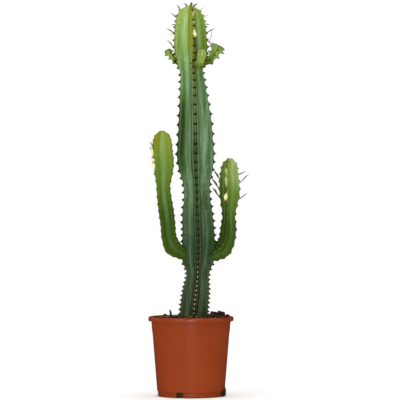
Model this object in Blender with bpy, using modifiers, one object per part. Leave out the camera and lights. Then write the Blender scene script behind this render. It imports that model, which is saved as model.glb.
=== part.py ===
"""Potted euphorbia: a four-ribbed branching stem that grows in a plastic nursery pot.

Metres, +Z up. The origin is the centre of the pot's underside, and -Y is the front.
Every stem is a loft along its spine, with a star section whose ribs carry small teeth.
"""
import math
import random

import bmesh
import bpy
import numpy as np
from mathutils import Matrix, Vector

MM = 0.001
GAP = 0.3 * MM            # between neighbouring solids

# Pot
RIM_RADIUS = 85 * MM
POT_HEIGHT = 158 * MM
LIP_DROP = 9 * MM         # height of the turned-down lip
WALL = 1.6 * MM
WALL_FOOT_RADIUS = 66.6 * MM
WALL_TAPER = 0.08         # radius gained for each unit of height
FOOT_HEIGHT = 9 * MM
FOOT_RADIUS = 65.5 * MM
FLOOR_UNDER = 3.4 * MM    # the floor is raised on the foot ring
FLOOR_TOP = 5 * MM
CENTRE_PAD_RADIUS = 12 * MM
BAND_HEIGHT = 127 * MM
BAND_STEP = 0.5 * MM
NOTCH_WIDTH = 16 * MM
NOTCH_TOP = 11 * MM
NOTCH_DEPTH = 9 * MM
NOTCH_TURNS = (-19.5, 70.5, 160.5, 250.5)   # degrees from the front, towards +X
POT_SEGMENTS = 64

# Soil
SOIL_LEVEL = 155.5 * MM
SOIL_SEGMENTS = 48
SOIL_RINGS = 7

# Stems
RIBS = 4
SECTION_POINTS = 16
VALLEY = 0.56             # valley radius over crest radius
TOOTH = 1.8 * MM
STEM_CLEARANCE = 0.45 * MM
# Each row is x, y, z and crest radius in millimetres, then the rib turn in degrees
MAIN_STEM = (
    (3, 0, 98, 19, 0), (4, 0, 130, 27, 0), (6.2, 0, 172, 28.5, 0), (10, 0, 208, 27, 0),
    (13.8, 0, 250, 24.8, -1), (13.8, 0, 266, 31.5, -2), (14.6, 0, 284, 33.5, -2),
    (14.8, 0, 325, 32.5, -2), (13, 0, 358, 31, -1), (11.8, 0, 405, 26.5, 0),
    (11.2, 0, 425, 28, 0), (10, 0, 450, 34, 0), (9, 0, 475, 37.3, 0), (8.8, 0, 510, 35.5, 0),
    (7.8, 0, 550, 33, 1), (5.5, 0, 590, 28.8, 4), (2.6, 0, 630, 24.8, 9),
    (1.2, 0, 645, 23.6, 10), (0.2, 0, 662, 28, 11), (0, 0, 682, 32.5, 12),
    (-1, 0, 715, 32.2, 13), (-1.6, 0, 745, 28.8, 13), (-2, 0, 762, 23, 13),
    (-1.8, 0, 771, 15.5, 13), (-1.6, 0, 777, 4, 13),
)
LEFT_ARM = (
    (1, 0, 287, 4, 45), (-9, 0, 287.5, 13, 45), (-21, 0, 288.5, 18.5, 45), (-36, 0, 296, 22, 45),
    (-43, 0, 313, 20, 45), (-46, -1, 342, 19.6, 45), (-49.4, -2, 368, 20, 45),
    (-53.2, -2, 395, 18.8, 45), (-55.2, -2, 420, 18.5, 45), (-54.6, -2, 438, 23, 46),
    (-55.2, -2, 462, 27.4, 47), (-57.2, -2, 489, 26.4, 48), (-57.6, -2, 509, 23.5, 48),
    (-58, -2, 521, 17, 48), (-58.4, -2, 528, 5, 48),
)
RIGHT_ARM = (
    (28, -1, 287, 4, -16), (38, -1, 286.5, 12, -16), (50, -1, 285.5, 16.4, -16), (62, -1, 292, 18.6, -16),
    (70.6, -1, 308, 17.2, -16), (74.5, -1, 334, 16.4, -16), (75.4, -1, 360, 13.8, -16),
    (76, -1, 378, 16.5, -16), (76.8, -1, 399, 20.6, -16), (76.4, -1, 425, 20.6, -16),
    (76.4, -1, 446, 18.2, -16), (77.4, -1, 462, 14.5, -16), (78.4, -1, 473, 5, -16),
)
SHOOT_LEFT = (
    (-21, -1, 661, 6.5, 20), (-30, -2, 667, 6.5, 20), (-37.5, -3, 676, 6.2, 20),
    (-43, -3, 684, 6, 20), (-46, -3, 690, 3, 20),
)
SHOOT_FRONT = (
    (9, -22, 659, 7, 45), (13, -32, 661, 9, 45), (18.5, -41, 668, 11, 45),
    (22, -45, 680, 11, 45), (24, -46, 689, 4, 45),
)
SHOOT_RIGHT = (
    (20, 4, 663, 6.5, 30), (32, 4, 666.5, 7, 30), (43, 3, 675, 8.5, 30),
    (49.5, 3, 686, 11.8, 30), (52.5, 3, 696, 11.5, 30), (54, 3, 703, 4, 30),
)

# Leaves: stem, height, rib, length, width, lift and sway in degrees, bend
# Lengths are in millimetres; lift is up from level, sway is around the stem, and bend is
# how far the tip curls up (or, below zero, droops) as a share of the length
LEAVES = (
    ("head", 769, 3, 11, 3.2, 52, 6, 0.05), ("head", 754, 3, 13, 3.2, 38, 0, 0.1),
    ("head", 739, 3, 6, 2.4, 5, -10, 0.0), ("head", 724, 3, 17, 3.4, 24, 0, 0.1),
    ("head", 696, 3, 19, 3.4, 46, 0, 0.05), ("head", 769, 1, 11, 3.0, 32, 0, 0.1),
    ("head", 754, 1, 11, 3.0, 26, 0, 0.1), ("head", 740, 1, 7, 3.0, -8, 0, 0.0),
    ("head", 724, 1, 19, 3.6, 20, 0, 0.1), ("head", 706, 1, 15, 3.2, -30, 8, -0.3),
    ("head", 756, 0, 12, 4.6, 62, 6, -0.05), ("head", 741, 0, 7, 4.0, 40, 4, -0.1),
    ("head", 724, 0, 17, 5.2, -66, 0, 0.12), ("head", 694, 0, 15, 5.0, 76, -8, -0.05),
    ("head", 742, 2, 13, 4.0, 50, 0, 0.1), ("head", 716, 2, 15, 4.0, 44, 5, 0.1),
    ("crown", 776, 0, 9, 4.4, 62, 10, -0.1), ("crown", 776, 1, 9, 4.4, 48, -20, -0.1),
    ("crown", 776, 3, 7, 3.6, 66, 10, -0.1),
    ("left_arm", 481, 3, 20, 5.0, 52, 20, 0.05), ("left_arm", 452, 3, 17, 5.0, 62, 24, 0.05),
    ("left_arm", 466, 3, 12, 4.0, 66, 10, 0.0), ("left_arm", 500, 2, 10, 4.0, 50, 0, 0.1),
    ("right_arm", 441, 0, 16, 5.0, 74, -6, -0.05), ("right_arm", 419, 0, 22, 6.0, 77, 6, -0.05),
    ("right_arm", 400, 0, 15, 5.6, -70, 0, 0.1), ("right_arm", 434, 3, 19, 2.6, 48, -14, 0.12),
    ("right_arm", 415, 3, 25, 2.6, 46, -12, 0.14), ("right_arm", 397, 3, 22, 3.4, 44, -10, 0.16),
    ("right_arm", 441, 1, 15, 2.6, 24, 4, 0.12), ("right_arm", 425, 1, 25, 2.6, 42, 4, 0.06),
    ("right_arm", 393, 1, 19, 2.4, 36, 4, 0.08),
)

# Loose pieces on the soil: x, y, size along x, y and z, turn in degrees
BARK_CHIPS = (
    (43, 4, 14, 10, 8, 15), (57, -4, 13, 10, 9, 60), (64, 9, 10, 12, 8, -25),
    (51, 22, 12, 9, 6, 40), (-30, -38, 14, 8, 4, 20), (24, -48, 11, 7, 4, -35),
    (-52, 20, 13, 9, 5, 75),
)
BARK_SEED = 7
TWIG_FOOT = (-39, -8)
TWIG_TIP = (-42.5, -8, 172)
TWIG_RADIUS = 1.4 * MM
ROOT_TURN = 70.5          # degrees from the front: the right-hand drain notch
# Root tuft: radius from the pot's axis, height, and thickness, in millimetres
ROOT_ROUTE = (
    (65.2, 7.2, 1.5), (68.5, 6.4, 2.1), (71.2, 8.8, 2.4), (71.6, 13.5, 2.2), (71.4, 18, 1.6),
    (72.6, 22, 1.0),
)


def new_collection(name):
    """A collection of its own in the scene."""
    collection = bpy.data.collections.new(name)
    bpy.context.scene.collection.children.link(collection)
    return collection


def surface(name, colour, roughness):
    """A Principled material with one colour and one roughness."""
    material = bpy.data.materials.new(name)
    material.use_nodes = True
    shader = material.node_tree.nodes["Principled BSDF"]
    shader.inputs["Base Color"].default_value = (*colour, 1)
    shader.inputs["Roughness"].default_value = roughness
    shader.inputs["Metallic"].default_value = 0
    return material


def add_object(name, mesh, material, collection):
    """An object for a finished mesh, smooth except at its sharp edges."""
    mesh.materials.append(material)
    mesh.shade_smooth()
    mesh.set_sharp_from_angle(angle=math.radians(40))
    obj = bpy.data.objects.new(name, mesh)
    collection.objects.link(obj)
    return obj


def mesh_of(name, bm):
    """A mesh from a bmesh, with its faces turned outwards."""
    bmesh.ops.recalc_face_normals(bm, faces=bm.faces)
    mesh = bpy.data.meshes.new(name)
    bm.to_mesh(mesh)
    bm.free()
    return mesh


def subtract(obj, cutter):
    """Cut one object with another by a live Boolean."""
    cut = obj.modifiers.new("cut_" + cutter.name, "BOOLEAN")
    cut.operation = "DIFFERENCE"
    cut.object = cutter


def as_cutter(obj):
    """Show a cutter as wire, and leave it out of renders."""
    obj.hide_render = True
    obj.display_type = "WIRE"


def turned(name, profile, segments, material):
    """A turned shape: a closed profile of (radius, height) swept round the Z axis by a Screw."""
    mesh = bpy.data.meshes.new(name)
    points = [(radius, 0, height) for radius, height in profile]
    mesh.from_pydata(points, [(i, i + 1) for i in range(len(points) - 1)], [])
    obj = add_object(name, mesh, material, PLANT)
    screw = obj.modifiers.new("turn", "SCREW")
    screw.steps = screw.render_steps = segments
    screw.use_merge_vertices = True
    screw.merge_threshold = 0.0001
    screw.use_smooth_shade = True
    return obj


def wall_radius(height):
    """Outside radius of the pot's tapered wall."""
    return WALL_FOOT_RADIUS + WALL_TAPER * height


def pot_profile():
    """The pot's section, from the middle of the floor up the inside and down the outside."""
    lip_bottom = POT_HEIGHT - LIP_DROP
    top_radius = wall_radius(POT_HEIGHT)
    return [
        (0, FLOOR_TOP),
        (wall_radius(0) - WALL - 1.6 * MM, FLOOR_TOP),
        (wall_radius(0) - WALL - 0.2 * MM, FLOOR_TOP + 1.6 * MM),
        (wall_radius(lip_bottom) - WALL, lip_bottom),
        (top_radius - WALL, POT_HEIGHT - 0.8 * MM),
        (top_radius - 0.6 * MM, POT_HEIGHT),
        (RIM_RADIUS - 2.4 * MM, POT_HEIGHT - 0.2 * MM),
        (RIM_RADIUS - 0.7 * MM, POT_HEIGHT - 1.3 * MM),
        (RIM_RADIUS, POT_HEIGHT - 3.2 * MM),
        (RIM_RADIUS, lip_bottom + 0.6 * MM),
        (RIM_RADIUS - 0.5 * MM, lip_bottom),
        (RIM_RADIUS - WALL, lip_bottom + 0.3 * MM),
        (RIM_RADIUS - WALL, POT_HEIGHT - 2.6 * MM),
        (top_radius + 1 * MM, POT_HEIGHT - 1.8 * MM),
        (wall_radius(lip_bottom) + BAND_STEP, lip_bottom - 1 * MM),
        (wall_radius(BAND_HEIGHT) + BAND_STEP, BAND_HEIGHT),
        (wall_radius(BAND_HEIGHT), BAND_HEIGHT - 0.8 * MM),
        (wall_radius(FOOT_HEIGHT) + 0.1 * MM, FOOT_HEIGHT + 1.6 * MM),
        (FOOT_RADIUS + 0.4 * MM, FOOT_HEIGHT),
        (FOOT_RADIUS, 0.6 * MM),
        (FOOT_RADIUS - 0.5 * MM, 0),
        (FOOT_RADIUS - WALL - 0.6 * MM, 0),
        (FOOT_RADIUS - WALL - 0.9 * MM, FLOOR_UNDER),
        (CENTRE_PAD_RADIUS + 1 * MM, FLOOR_UNDER),
        (CENTRE_PAD_RADIUS, 0),
        (0, 0),
    ]


def on_circle(radius, turn, height):
    """A point at a radius and a turn in degrees from the front, towards +X."""
    angle = math.radians(turn)
    return Vector((radius * math.sin(angle), -radius * math.cos(angle), height))


def notch_cutter(index, turn):
    """A block for one drain notch, a little narrower at its top."""
    bm = bmesh.new()
    bmesh.ops.create_cube(bm, size=1)
    for vert in bm.verts:
        vert.co.x *= NOTCH_WIDTH * (0.84 if vert.co.z > 0 else 1)
        vert.co.y *= NOTCH_DEPTH
        vert.co.z = NOTCH_TOP if vert.co.z > 0 else -2 * MM
    middle = on_circle(FOOT_RADIUS + 2 * MM - NOTCH_DEPTH / 2, turn, 0)
    place = Matrix.Translation(middle) @ Matrix.Rotation(math.radians(turn), 4, "Z")
    bmesh.ops.transform(bm, matrix=place, verts=bm.verts)
    name = f"notch_cutter_{index}"
    cutter = add_object(name, mesh_of(name, bm), CUTTER_FINISH, CUTTERS)
    as_cutter(cutter)
    return cutter


def build_pot():
    """The moulded pot: tapered wall, turned-down lip, raised floor and four drain notches."""
    pot = turned("pot", pot_profile(), POT_SEGMENTS, POT_FINISH)
    for index, turn in enumerate(NOTCH_TURNS):
        subtract(pot, notch_cutter(index, turn))


def ground_height(x, y):
    """Top of the soil: a low mound round the stem, a heap on the right and small lumps."""
    radius = math.hypot(x, y)
    mound = 3.5 * MM * math.exp(-((radius / (40 * MM)) ** 2))
    heap = 5.4 * MM * math.exp(-(((x - 54 * MM) / (20 * MM)) ** 2 + ((y - 4 * MM) / (24 * MM)) ** 2))
    lumps = 0.7 * MM * math.sin(x / (7 * MM) + 1) * math.cos(y / (6 * MM))
    edge = 2.2 * MM * max(0.0, radius / wall_radius(SOIL_LEVEL) - 0.8) / 0.2
    return SOIL_LEVEL + mound + heap + lumps - edge


def build_soil(stem_cutter):
    """The potting soil: fills the pot, with an uneven top and a socket for the stem."""
    bottom = FLOOR_TOP + GAP
    top_edge = wall_radius(SOIL_LEVEL) - WALL - GAP - 0.2 * MM
    bm = bmesh.new()
    side = [(0, bottom), (wall_radius(0) - WALL - 2.2 * MM, bottom),
            (wall_radius(0) - WALL - 0.8 * MM, bottom + 1.8 * MM)]
    top = [(top_edge * (1 - ring / SOIL_RINGS), SOIL_LEVEL) for ring in range(SOIL_RINGS)]
    outline = [bm.verts.new((radius, 0, height)) for radius, height in side + top + [(0, SOIL_LEVEL)]]
    edges = [bm.edges.new(pair) for pair in zip(outline, outline[1:])]
    bmesh.ops.spin(bm, geom=outline + edges, cent=(0, 0, 0), axis=(0, 0, 1),
                   angle=math.tau, steps=SOIL_SEGMENTS, use_merge=True)
    bmesh.ops.remove_doubles(bm, verts=bm.verts, dist=0.01 * MM)
    for vert in bm.verts:
        if vert.co.z > SOIL_LEVEL - MM:
            vert.co.z = ground_height(vert.co.x, vert.co.y)
    soil = add_object("soil", mesh_of("soil", bm), SOIL_FINISH, PLANT)
    subtract(soil, stem_cutter)


class Stem:
    """A ribbed stem along a smooth spine.

    Angles round the stem start at its front, the side that faces -Y, and grow towards +X on
    an upright stretch.
    """

    def __init__(self, stations, base_pitch, tip_pitch):
        rows = np.array(stations, float)
        rows[:, :4] *= MM
        steps = np.linalg.norm(np.diff(rows[:, :3], axis=0), axis=1)
        self.along = np.concatenate(([0], np.cumsum(steps)))
        self.rows = rows
        self.slopes = np.gradient(rows, self.along, axis=0)
        length = self.along[-1]
        count = round(length / ((base_pitch + tip_pitch) / 2))
        pitches = np.linspace(base_pitch, tip_pitch, count)
        self.teeth = np.cumsum(pitches) * length / (pitches.sum() + tip_pitch / 2)

    def at(self, distance):
        """Centre, front, side, tangent, crest radius and turn at a distance along the spine.

        Between two stations the values follow a cubic whose end slopes are the stations' own.
        """
        last = len(self.along) - 2
        i = int(np.clip(np.searchsorted(self.along, distance) - 1, 0, last))
        span = self.along[i + 1] - self.along[i]
        t = (distance - self.along[i]) / span
        rise = 3 * t ** 2 - 2 * t ** 3
        value = ((1 - rise) * self.rows[i] + rise * self.rows[i + 1]
                 + span * t * (1 - t) ** 2 * self.slopes[i]
                 - span * t ** 2 * (1 - t) * self.slopes[i + 1])
        slope = (self.rows[i + 1] - self.rows[i]) / span
        eased = (1 - t) * self.slopes[i] + t * self.slopes[i + 1]
        tangent = Vector(0.5 * (slope + eased)[:3]).normalized()
        front = Vector((0, -1, 0))
        front = (front - front.dot(tangent) * tangent).normalized()
        radius, turn = float(value[3]), math.radians(value[4])
        return Vector(value[:3]), front, tangent.cross(front), tangent, radius, turn

    def distance_at(self, height):
        """Distance along the spine at a height, past any bend near the foot."""
        samples = np.linspace(self.along[1], self.along[-1], 400)
        heights = [self.at(s)[0].z for s in samples]
        return float(np.interp(height, heights, samples))

    def on_rib(self, distance, rib, out):
        """A point just outside a rib's crest, with the outward and sideways directions."""
        centre, front, side, tangent, radius, turn = self.at(distance)
        angle = turn + rib * math.tau / RIBS
        outward = math.cos(angle) * front + math.sin(angle) * side
        return centre + (radius + out) * outward, outward, tangent.cross(outward)

    def ring(self, distance, tooth, grow):
        """The star section: crests, with a tooth on each, and rounded valleys between."""
        centre, front, side, _, radius, turn = self.at(distance)
        points = []
        for i in range(SECTION_POINTS):
            angle = i * math.tau / SECTION_POINTS
            share = VALLEY + (1 - VALLEY) * (0.5 + 0.5 * math.cos(RIBS * angle)) ** 1.6
            reach = radius * share + grow
            if i % (SECTION_POINTS // RIBS) == 0:
                reach += tooth * min(1, radius / (12 * MM))
            outward = math.cos(angle + turn) * front + math.sin(angle + turn) * side
            points.append(centre + reach * outward)
        return points

    def mesh(self, name, grow=0.0):
        """Loft the sections, one at each tooth and one in each gap, and close both ends."""
        gaps = (self.teeth[:-1] + self.teeth[1:]) / 2
        stops = sorted([(s, TOOTH) for s in self.teeth] + [(s, 0.0) for s in gaps])
        stops = [(0.0, 0.0)] + stops + [(self.along[-1], 0.0)]
        bm = bmesh.new()
        rings = [[bm.verts.new(point) for point in self.ring(s, tooth, grow)] for s, tooth in stops]
        for low, high in zip(rings, rings[1:]):
            for i in range(SECTION_POINTS):
                j = (i + 1) % SECTION_POINTS
                bm.faces.new((low[i], low[j], high[j], high[i]))
        bm.faces.new(rings[0])
        bm.faces.new(rings[-1])
        # the same diagonals on a stem and on its cutter keep the clearance even
        bmesh.ops.triangulate(bm, faces=bm.faces, quad_method="FIXED")
        return mesh_of(name, bm)


def build_stem(name, stem, material, cutter=None):
    """A stem's object, cut to fit where it springs from an older stem."""
    obj = add_object(name, stem.mesh(name), material, PLANT)
    if cutter:
        subtract(obj, cutter)


def stem_cutter(name, stem):
    """A stem grown by its clearance, to cut the pieces that meet it."""
    cutter = add_object(name, stem.mesh(name, grow=STEM_CLEARANCE), CUTTER_FINISH, CUTTERS)
    as_cutter(cutter)
    return cutter


def build_leaf(name, stem, height, rib, length, width, lift, sway, bend):
    """A small pointed blade that stands off a rib's crest."""
    base, outward, across = stem.on_rib(stem.distance_at(height * MM), rib, TOOTH + 0.8 * MM)
    sway, lift = math.radians(sway), math.radians(lift)
    heading = math.cos(sway) * outward + math.sin(sway) * across
    run = math.cos(lift) * heading + math.sin(lift) * Vector((0, 0, 1))
    cross = run.cross(outward if abs(lift) > math.radians(60) else Vector((0, 0, 1))).normalized()
    rise = cross.cross(run).normalized()
    if rise.z < 0:
        rise = -rise
    bm = bmesh.new()
    rows = []
    for t in (0, 0.25, 0.5, 0.75, 1):
        middle = base + length * MM * (t * run + bend * t * t * rise)
        half = 0.5 * width * MM * max(0.16, math.sin(math.pi * (0.1 + 0.88 * t ** 0.9)))
        rows.append([bm.verts.new(middle + side * half * cross) for side in (-1, 0, 1)])
    for low, high in zip(rows, rows[1:]):
        for i in range(2):
            bm.faces.new((low[i], low[i + 1], high[i + 1], high[i]))
    leaf = add_object(name, mesh_of(name, bm), LEAF_FINISH, PLANT)
    thickness = leaf.modifiers.new("blade", "SOLIDIFY")
    thickness.thickness = 0.8 * MM
    thickness.offset = 0


def build_leaves(stems):
    """Every leaf, numbered along each stem."""
    counts = {}
    for place, *size in LEAVES:
        counts[place] = counts.get(place, 0) + 1
        build_leaf(f"leaf_{place}_{counts[place]:02d}", stems[place], *size)


def build_bark():
    """Loose chips of bark, each a squashed and roughened ball that lies on the soil."""
    rng = random.Random(BARK_SEED)
    for index, (x, y, *size, turn) in enumerate(BARK_CHIPS, 1):
        bm = bmesh.new()
        bmesh.ops.create_icosphere(bm, subdivisions=1, radius=0.5)
        for vert in bm.verts:
            vert.co *= rng.uniform(0.82, 1.12)
            vert.co = Vector(c * s * MM for c, s in zip(vert.co, size))
        place = Matrix.Translation((x * MM, y * MM, 0)) @ Matrix.Rotation(math.radians(turn), 4, "Z")
        bmesh.ops.transform(bm, matrix=place, verts=bm.verts)
        drop = min(v.co.z - ground_height(v.co.x, v.co.y) for v in bm.verts)
        for vert in bm.verts:
            vert.co.z += 2 * GAP - drop
        name = f"bark_{index}"
        add_object(name, mesh_of(name, bm), BARK_FINISH, PLANT)


def build_rod(name, points, radii, material):
    """A thin branch: a curve with filled caps, thicker or thinner at each point."""
    curve = bpy.data.curves.new(name, "CURVE")
    curve.dimensions = "3D"
    curve.bevel_depth = 1
    curve.bevel_resolution = 2
    curve.use_fill_caps = True
    curve.materials.append(material)
    spline = curve.splines.new("POLY")
    spline.points.add(len(points) - 1)
    for point, place, radius in zip(spline.points, points, radii):
        point.co = (*place, 1)
        point.radius = radius
    obj = bpy.data.objects.new(name, curve)
    PLANT.objects.link(obj)


def build_twig():
    """A dry twig that stands in the soil."""
    x, y = (c * MM for c in TWIG_FOOT)
    foot = Vector((x, y, ground_height(x, y) + 3 * GAP))
    tip = Vector(c * MM for c in TWIG_TIP)
    middle = foot.lerp(tip, 0.5) + Vector((0.5 * MM, 0, 0))
    build_rod("twig", (foot, middle, tip), (TWIG_RADIUS, TWIG_RADIUS, 0.8 * TWIG_RADIUS), BARK_FINISH)


def build_root_tuft():
    """Roots that push out of a drain notch and curl up the outside of the wall."""
    points = [on_circle(radius * MM, ROOT_TURN, height * MM) for radius, height, _ in ROOT_ROUTE]
    build_rod("root_tuft", points, [thick * MM for *_, thick in ROOT_ROUTE], ROOT_FINISH)


for old in list(bpy.data.objects):
    bpy.data.objects.remove(old, do_unlink=True)
PLANT = new_collection("potted_euphorbia")
CUTTERS = new_collection("cutters")

POT_FINISH = surface("pot_plastic", (0.28, 0.045, 0.012), 0.42)
SOIL_FINISH = surface("potting_soil", (0.035, 0.02, 0.012), 0.95)
STEM_FINISH = surface("stem_skin", (0.07, 0.16, 0.06), 0.5)
ARM_FINISH = surface("arm_skin", (0.12, 0.25, 0.04), 0.5)
SHOOT_FINISH = surface("shoot_skin", (0.2, 0.38, 0.06), 0.5)
LEAF_FINISH = surface("leaf_blade", (0.6, 0.62, 0.25), 0.6)
BARK_FINISH = surface("bark", (0.06, 0.03, 0.02), 0.9)
ROOT_FINISH = surface("roots", (0.05, 0.05, 0.025), 0.95)
CUTTER_FINISH = surface("cutter", (0.5, 0.5, 0.5), 0.5)

main_stem = Stem(MAIN_STEM, 9 * MM, 17 * MM)
left_arm = Stem(LEFT_ARM, 11 * MM, 16 * MM)
right_arm = Stem(RIGHT_ARM, 11 * MM, 17 * MM)
main_cutter = stem_cutter("main_stem_clearance", main_stem)

build_pot()
build_soil(main_cutter)
build_stem("main_stem", main_stem, STEM_FINISH)
build_stem("left_arm", left_arm, ARM_FINISH, main_cutter)
build_stem("right_arm", right_arm, ARM_FINISH, main_cutter)
build_stem("shoot_left", Stem(SHOOT_LEFT, 6 * MM, 7 * MM), SHOOT_FINISH, main_cutter)
build_stem("shoot_front", Stem(SHOOT_FRONT, 7 * MM, 8 * MM), SHOOT_FINISH, main_cutter)
build_stem("shoot_right", Stem(SHOOT_RIGHT, 7 * MM, 8 * MM), SHOOT_FINISH, main_cutter)
build_leaves({"head": main_stem, "crown": main_stem, "left_arm": left_arm, "right_arm": right_arm})
build_bark()
build_twig()
build_root_tuft()
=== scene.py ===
"""Looks for the potted euphorbia, in the order in which it is put together: pot, soil, stems,
spines, leaves, the loose bark, twig and roots, and then the studio."""
import math

import bmesh
import bpy
import numpy as np
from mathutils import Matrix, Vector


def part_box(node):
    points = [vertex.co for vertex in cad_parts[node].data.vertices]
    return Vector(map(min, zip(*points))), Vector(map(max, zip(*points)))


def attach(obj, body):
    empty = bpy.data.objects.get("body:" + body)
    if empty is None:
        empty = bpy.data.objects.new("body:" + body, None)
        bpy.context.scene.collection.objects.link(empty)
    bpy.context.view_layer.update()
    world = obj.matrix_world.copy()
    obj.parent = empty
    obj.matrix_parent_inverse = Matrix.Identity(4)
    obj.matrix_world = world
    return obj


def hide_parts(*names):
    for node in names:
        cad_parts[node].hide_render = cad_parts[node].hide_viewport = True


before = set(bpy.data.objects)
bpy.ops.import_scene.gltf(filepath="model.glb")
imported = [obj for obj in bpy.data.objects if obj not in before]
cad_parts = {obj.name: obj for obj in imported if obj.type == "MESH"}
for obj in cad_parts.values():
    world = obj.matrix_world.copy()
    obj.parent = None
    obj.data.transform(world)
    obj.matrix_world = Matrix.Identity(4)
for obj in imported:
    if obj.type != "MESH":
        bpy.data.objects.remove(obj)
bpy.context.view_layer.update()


# -------- pot
# A nursery pot, moulded in one shot of satin terracotta plastic. Its lip is rolled over and turned
# down, its floor stands on a foot ring, and four notches in the ring let the water out.
MM = 0.001
WALL = 1.6 * MM
LIP_DROP = 9 * MM
FOOT_RADIUS = 65.5 * MM
FOOT_HEIGHT = 9 * MM
WALL_FOOT_RADIUS = 66.6 * MM
WALL_TAPER = 0.08  # radius gained for each unit of height
FLOOR_TOP = 5 * MM
FLOOR_UNDER = 3.4 * MM
PAD_RADIUS = 12 * MM  # the floor's centre pad, level with the foot
BAND_HEIGHT = 127 * MM  # above it the wall is a little thicker
NOTCH_TURNS = np.radians((-19.5, 70.5, 160.5, 250.5))
NOTCH_SIZE = (16 * MM, 9 * MM, 11 * MM)
NOTCH_DRAFT = 0.84  # a notch's width at its top over its width at the floor
CUT_MARGIN = 2 * MM  # how far a cutting block stands out of the wall and the floor
POT_COLUMNS = 216
WELD = 0.002 * MM  # points of a skin that are nearer than this are made one

scene = bpy.context.scene
pot_low, pot_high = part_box("pot")


def wall_radius(height):
    """Outside radius of the tapered wall: its radius at the foot and a share of the height."""
    return WALL_FOOT_RADIUS + WALL_TAPER * height


def pot_outline():
    """Corners of the pot's section as (radius, height, rounding in millimetres), from the middle of
    the floor up the inside, over the lip and down the outside to the pad under the floor."""
    rim, top = pot_high.x, pot_high.z
    lip = top - LIP_DROP
    return np.array((
        (0, FLOOR_TOP, 0),
        (wall_radius(0) - WALL - 0.2 * MM, FLOOR_TOP, 2.2),
        (wall_radius(lip) - WALL, lip, 0.5),
        (wall_radius(top) - WALL, top, 1.2),
        (rim - 1.6 * MM, top, 1.7),
        (rim, top - 2.2 * MM, 1.6),
        (rim, lip + 1 * MM, 1.2),
        (rim - 1.2 * MM, lip, 0.7),
        (rim - WALL - 0.4 * MM, lip + 0.6 * MM, 0.5),
        (rim - WALL - 0.3 * MM, top - 3 * MM, 1),
        (wall_radius(top) + 0.6 * MM, top - 3 * MM, 1),
        (wall_radius(lip) + 0.5 * MM, lip - 1 * MM, 2),
        (wall_radius(BAND_HEIGHT) + 0.5 * MM, BAND_HEIGHT, 0.3),
        (wall_radius(BAND_HEIGHT), BAND_HEIGHT - 0.8 * MM, 0.3),
        (wall_radius(FOOT_HEIGHT) + 0.1 * MM, FOOT_HEIGHT + 1.4 * MM, 0.5),
        (FOOT_RADIUS - 0.2 * MM, FOOT_HEIGHT + 0.2 * MM, 0.35),
        (FOOT_RADIUS + 0.5 * MM, FOOT_HEIGHT - 0.8 * MM, 0.35),
        (FOOT_RADIUS, 0, 0.6),
        (FOOT_RADIUS - WALL - 0.6 * MM, 0, 0.4),
        (FOOT_RADIUS - WALL - 0.9 * MM, FLOOR_UNDER, 0.8),
        (PAD_RADIUS + 1 * MM, FLOOR_UNDER, 0.8),
        (PAD_RADIUS, 0, 0.4),
        (0, 0, 0),
    )) * (1, 1, MM)


def unit(vectors):
    """Each vector divided by its own length."""
    return vectors / np.maximum(np.linalg.norm(vectors, axis=-1, keepdims=True), 1e-9)


def rounded(corners, steps=5):
    """An outline with each corner eased. With p and q the points one rounding before and after
    corner c, the curve is (1-t)^2 p + 2t(1-t) c + t^2 q."""
    at, rounding = corners[:, :2], corners[:, 2:]
    p = at + rounding * unit(np.vstack((at[:1], at[:-1])) - at)
    q = at + rounding * unit(np.vstack((at[1:], at[-1:])) - at)
    t = np.linspace(0, 1, steps)[None, :, None]
    return ((1 - t) ** 2 * p[:, None] + 2 * t * (1 - t) * at[:, None] + t ** 2 * q[:, None]).reshape(-1, 2)


def circle(columns):
    """So many even turns round a full circle."""
    return np.linspace(0, math.tau, columns, endpoint=False)


def round_z(radius, turn, height):
    """Points about the pot's axis, where the front is turn 0: (r sin a, -r cos a, height)."""
    return np.stack((radius * np.sin(turn), -radius * np.cos(turn), height + 0 * turn), axis=-1)


def grid_mesh(name, points, fields=None, sharp_degrees=50):
    """One closed skin for each grid of points, shaped (..., rows, columns, 3). Columns close into
    a ring, and a first or last row that falls together is a pole. Fields are numbers kept at
    every point for the material to read."""
    rows, columns = points.shape[-3:-1]
    index = np.arange(points.size // 3).reshape(-1, rows, columns)
    nxt = np.roll(index, -1, axis=2)
    quads = np.stack((index[:, :-1], nxt[:, :-1], nxt[:, 1:], index[:, 1:]), axis=-1).reshape(-1, 4)
    mesh = bpy.data.meshes.new(name)
    mesh.vertices.add(index.size)
    mesh.vertices.foreach_set("co", points.astype(np.float32).ravel())
    mesh.loops.add(quads.size)
    mesh.loops.foreach_set("vertex_index", quads.ravel())
    mesh.polygons.add(len(quads))
    mesh.polygons.foreach_set("loop_start", np.arange(0, quads.size, 4))
    for field, values in (fields or {}).items():
        spread = np.broadcast_to(values, points.shape[:-1]).astype(np.float32)
        mesh.attributes.new(field, "FLOAT", "POINT").data.foreach_set("value", spread.ravel())
    mesh.update(calc_edges=True)
    shell = bmesh.new()
    shell.from_mesh(mesh)
    bmesh.ops.remove_doubles(shell, verts=shell.verts, dist=WELD)
    bmesh.ops.recalc_face_normals(shell, faces=shell.faces)
    shell.to_mesh(mesh)
    shell.free()
    mesh.shade_smooth()
    mesh.set_sharp_from_angle(angle=math.radians(sharp_degrees))
    return mesh


def place(name, mesh, material, slot, *nodes):
    """Put a finished piece on the plant's body, in place of the solids that it stands for."""
    piece = bpy.data.objects.new(name, mesh)
    scene.collection.objects.link(piece)
    mesh.materials.clear()
    mesh.materials.append(material)
    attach(piece, "root")
    if nodes:
        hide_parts(*nodes)


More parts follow.
